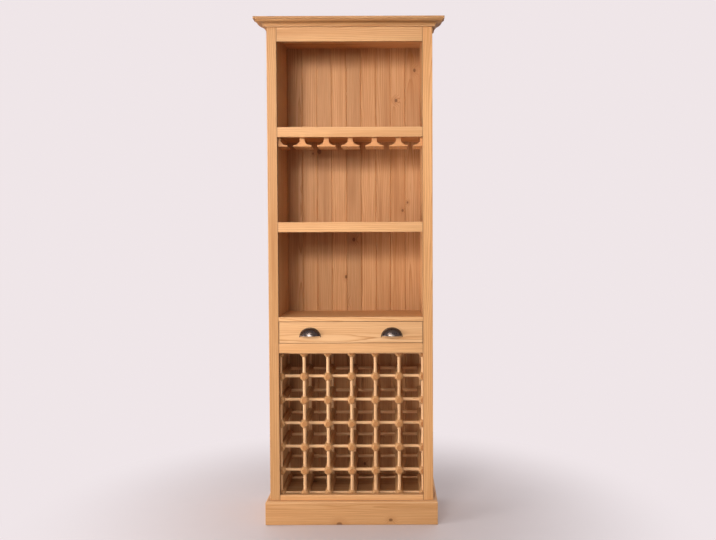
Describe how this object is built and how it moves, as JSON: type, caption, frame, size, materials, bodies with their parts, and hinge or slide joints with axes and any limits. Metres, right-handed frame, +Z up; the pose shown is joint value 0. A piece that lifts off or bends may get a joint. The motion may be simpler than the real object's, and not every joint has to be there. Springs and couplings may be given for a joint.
{
  "type": "wine cabinet",
  "caption": "Tall pine wine cabinet with open shelf bays, hanging rails for stemware, one drawer with cup pulls and a lattice bottle rack, under a crown cornice and on a plinth.",
  "frame": {"origin": "middle of the bounding box on the floor", "axes": "+Z up, the front faces -Y, +X to the right of someone facing the cabinet"},
  "size_m": [0.76, 0.366, 2.05],
  "materials": {
    "case_pine": "waxed honey pine, satin",
    "back_pine": "waxed honey pine boards, satin",
    "rack_pine": "waxed honey pine, satin",
    "drawer_pine": "waxed pale pine, satin",
    "dark_metal": "antiqued dark pewter, semi-gloss",
    "screw_steel": "zinc plated"
  },
  "bodies": {
    "cabinet": {"back_board_1": "back_pine", "back_board_2": "back_pine", "back_board_3": "back_pine", "back_board_4": "back_pine", "back_board_5": "back_pine", "back_board_6": "back_pine", "back_board_7": "back_pine", "back_board_8": "back_pine", "back_board_9": "back_pine", "back_board_screws": "screw_steel", "bottom_panel": "case_pine", "bottom_rail": "case_pine", "cornice_front": "case_pine", "cornice_left": "case_pine", "cornice_right": "case_pine", "counter_shelf": "case_pine", "drawer_deck": "case_pine", "drawer_rail": "case_pine", "drawer_stops": "case_pine", "hanging_rail_1": "case_pine", "hanging_rail_2": "case_pine", "hanging_rail_3": "case_pine", "hanging_rail_4": "case_pine", "hanging_rail_5": "case_pine", "hanging_rail_6": "case_pine", "hanging_rail_7": "case_pine", "hanging_rail_screws": "screw_steel", "left_drawer_kicker": "case_pine", "left_drawer_runner": "case_pine", "left_side_panel": "case_pine", "left_upright": "case_pine", "middle_shelf": "case_pine", "middle_shelf_lip": "case_pine", "plinth_front": "case_pine", "plinth_left": "case_pine", "plinth_right": "case_pine", "rack_bars": "rack_pine", "rack_corner_bars": "rack_pine", "rack_front_crossbars": "rack_pine", "rack_front_uprights": "rack_pine", "rack_rear_crossbars": "rack_pine", "rack_rear_uprights": "rack_pine", "rack_side_bars": "rack_pine", "rack_top_and_bottom_bars": "rack_pine", "right_drawer_kicker": "case_pine", "right_drawer_runner": "case_pine", "right_side_panel": "case_pine", "right_upright": "case_pine", "top_panel": "case_pine", "top_rail": "case_pine", "upper_shelf": "case_pine", "upper_shelf_lip": "case_pine"},
    "drawer": {"drawer_front": "drawer_pine", "drawer_left_side": "drawer_pine", "drawer_right_side": "drawer_pine", "drawer_back": "drawer_pine", "drawer_bottom": "drawer_pine", "left_cup_pull": "dark_metal", "right_cup_pull": "dark_metal", "cup_pull_screws": "screw_steel"}
  },
  "joints": [
    {"name": "drawer_slide", "type": "slide", "parent": "cabinet", "child": "drawer", "axis": [0, -1, 0], "range_m": [0, 0.21]}
  ]
}
